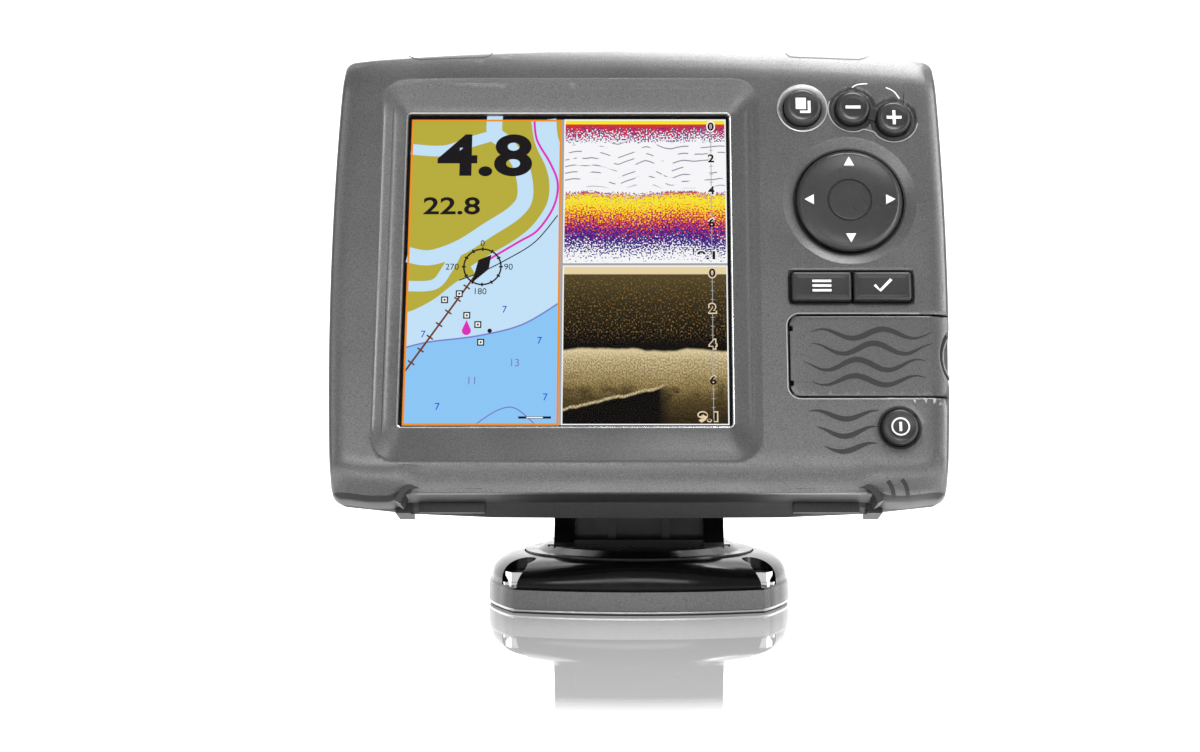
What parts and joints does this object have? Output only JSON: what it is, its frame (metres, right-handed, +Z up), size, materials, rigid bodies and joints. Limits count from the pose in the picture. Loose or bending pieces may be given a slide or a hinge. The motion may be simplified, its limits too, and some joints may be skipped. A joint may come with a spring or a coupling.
{
  "type": "fish finder",
  "caption": "Square-screen sonar display head with side keypad and card door, on a quick-release stand that tilts and swivels.",
  "frame": {"origin": "centre of the stand's underside, on the swivel axis", "axes": "+Z up, the screen faces -Y, +X to the right of a person who looks at the screen"},
  "size_m": [0.1742, 0.0984, 0.1626],
  "materials": {
    "gloss_black": "gloss",
    "satin_black": "satin",
    "bezel_paint": "satin metallic speckle",
    "case_grey": "fine texture",
    "key_grey": "satin",
    "pad_grey": "satin",
    "door_paint": "satin metallic speckle",
    "window_glass": "clear",
    "display": "gloss",
    "white_plastic": "satin",
    "chromed_steel": "bright",
    "plain_steel": "satin",
    "rubber_black": "matt",
    "silicone": "matt",
    "board_green": "satin",
    "ribbon_amber": "gloss",
    "ceramic": "matt",
    "insert_blue": "satin",
    "gold_pins": "bright"
  },
  "bodies": {
    "base": {"mounting_base": "gloss_black", "base_pad": "rubber_black", "mounting_screws": "chromed_steel", "swivel_ring": "white_plastic"},
    "neck": {"pedestal": "gloss_black", "swivel_bolt": "plain_steel", "swivel_washer": "plain_steel", "swivel_nut": "plain_steel", "tilt_bolt": "plain_steel", "tilt_nut": "plain_steel", "friction_washers": "white_plastic"},
    "cradle": {"cradle": "satin_black", "lever_pin": "plain_steel", "release_spring": "plain_steel"},
    "head": {"front_bezel": "bezel_paint", "rear_case": "case_grey", "case_gasket": "rubber_black", "case_screws": "plain_steel", "display_window": "window_glass", "window_seal": "rubber_black", "lcd_panel": "display", "backlight": "white_plastic", "lcd_ribbon": "ribbon_amber", "main_board": "board_green", "board_screws": "plain_steel", "shield_can": "plain_steel", "gps_antenna": "ceramic", "beeper": "satin_black", "clock_cell": "plain_steel", "keypad_board": "board_green", "keypad_membrane": "silicone", "keypad_ribbon": "ribbon_amber", "card_bay": "satin_black", "card_socket": "plain_steel", "door_seal": "rubber_black", "door_pin": "plain_steel", "connector_shell": "satin_black", "connector_insert": "insert_blue", "connector_pins": "gold_pins", "connector_nut": "satin_black", "connector_seal": "rubber_black", "vent_plug": "satin_black"},
    "pages_key": {"pages_key": "key_grey"},
    "zoom_out_key": {"zoom_out_key": "key_grey"},
    "zoom_in_key": {"zoom_in_key": "key_grey"},
    "pad_pivot": {"pad_pivot": "satin_black"},
    "direction_pad": {"direction_pad": "pad_grey"},
    "menu_key": {"menu_key": "key_grey"},
    "enter_key": {"enter_key": "key_grey"},
    "power_key": {"power_key": "key_grey"},
    "card_door": {"card_door": "door_paint"},
    "release_lever": {"release_lever": "satin_black"}
  },
  "joints": [
    {"name": "swivel", "type": "hinge", "parent": "base", "child": "neck", "pos_m": [0, 0, 0.0135], "axis": [0, 0, 1], "range_deg": [-60, 60]},
    {"name": "tilt", "type": "hinge", "parent": "neck", "child": "cradle", "pos_m": [0, 0.008, 0.079], "axis": [1, 0, 0], "range_deg": [-30, 8]},
    {"name": "quick_release", "type": "slide", "parent": "cradle", "child": "head", "axis": [0, 0.2504, 0.9681], "range_m": [0, 0.045]},
    {"name": "release_lever_press", "type": "hinge", "parent": "cradle", "child": "release_lever", "pos_m": [0, 0.00739, 0.09982], "axis": [1, 0, 0], "range_deg": [0, 9], "stiffness_Nm_per_rad": 0.05, "springref_deg": -11.46},
    {"name": "pages_key_press", "type": "slide", "parent": "head", "child": "pages_key", "axis": [0, 0.9681, -0.2504], "range_m": [0, 0.0009], "stiffness_N_per_m": 500, "springref_m": -0.0012},
    {"name": "zoom_out_key_press", "type": "slide", "parent": "head", "child": "zoom_out_key", "axis": [0, 0.9681, -0.2504], "range_m": [0, 0.0009], "stiffness_N_per_m": 500, "springref_m": -0.0012},
    {"name": "zoom_in_key_press", "type": "slide", "parent": "head", "child": "zoom_in_key", "axis": [0, 0.9681, -0.2504], "range_m": [0, 0.0009], "stiffness_N_per_m": 500, "springref_m": -0.0012},
    {"name": "menu_key_press", "type": "slide", "parent": "head", "child": "menu_key", "axis": [0, 0.9681, -0.2504], "range_m": [0, 0.0009], "stiffness_N_per_m": 500, "springref_m": -0.0012},
    {"name": "enter_key_press", "type": "slide", "parent": "head", "child": "enter_key", "axis": [0, 0.9681, -0.2504], "range_m": [0, 0.0009], "stiffness_N_per_m": 500, "springref_m": -0.0012},
    {"name": "power_key_press", "type": "slide", "parent": "head", "child": "power_key", "axis": [0, 0.9681, -0.2504], "range_m": [0, 0.0009], "stiffness_N_per_m": 500, "springref_m": -0.0012},
    {"name": "pad_up_down", "type": "hinge", "parent": "head", "child": "pad_pivot", "pos_m": [0.0589, -0.03449, 0.11519], "axis": [1, 0, 0], "range_deg": [-3, 3], "stiffness_Nm_per_rad": 0.15},
    {"name": "pad_left_right", "type": "hinge", "parent": "pad_pivot", "child": "direction_pad", "pos_m": [0.0589, -0.03449, 0.11519], "axis": [0, 0.2504, 0.9681], "range_deg": [-3, 3], "stiffness_Nm_per_rad": 0.15},
    {"name": "card_door_hinge", "type": "hinge", "parent": "head", "child": "card_door", "pos_m": [0.043, -0.04761, 0.07205], "axis": [0, -0.2504, -0.9681], "range_deg": [0, 95]}
  ]
}
